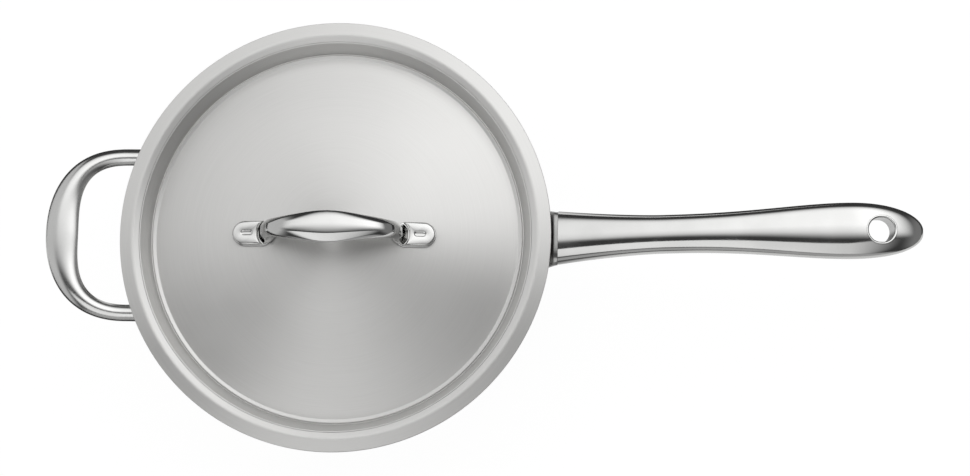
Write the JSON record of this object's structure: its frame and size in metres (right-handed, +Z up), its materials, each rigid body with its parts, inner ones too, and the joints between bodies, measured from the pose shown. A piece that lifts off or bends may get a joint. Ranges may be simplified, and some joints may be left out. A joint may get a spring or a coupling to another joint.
{
  "type": "saute pan with lid",
  "caption": "Straight-walled steel saute pan with a sandwich base, a drop-in lid with a bow grip, a long hollow handle with a hanging hole and a helper loop opposite.",
  "frame": {"origin": "centre of the base's flat underside, on the hob", "axes": "+X along the long handle, +Y to the left of it as seen from above, +Z up through the lid"},
  "size_m": [0.5314, 0.265, 0.1157],
  "materials": {
    "satin_steel": "circular-brushed satin stainless steel",
    "polished_steel": "mirror-polished stainless steel",
    "bracket_steel": "drawn stainless steel, welded",
    "aluminium_core": "plain pressed disc, sealed under the steel cup"
  },
  "bodies": {
    "pan": {"pan_body": "satin_steel", "base_cap": "satin_steel", "base_core": "aluminium_core", "handle_bracket": "bracket_steel", "handle_upper_shell": "polished_steel", "handle_lower_shell": "polished_steel", "hang_sleeve": "polished_steel", "side_loop": "polished_steel", "side_flange_back": "bracket_steel", "side_flange_front": "bracket_steel"},
    "lid": {"lid_shell": "satin_steel", "lid_grip": "polished_steel", "lid_plate_left": "polished_steel", "lid_plate_right": "polished_steel", "lid_pad_left": "polished_steel", "lid_pad_right": "polished_steel"}
  },
  "joints": [
    {"name": "lid_lift", "type": "slide", "parent": "pan", "child": "lid", "axis": [0, 0, 1], "range_m": [0, 0.15]}
  ]
}
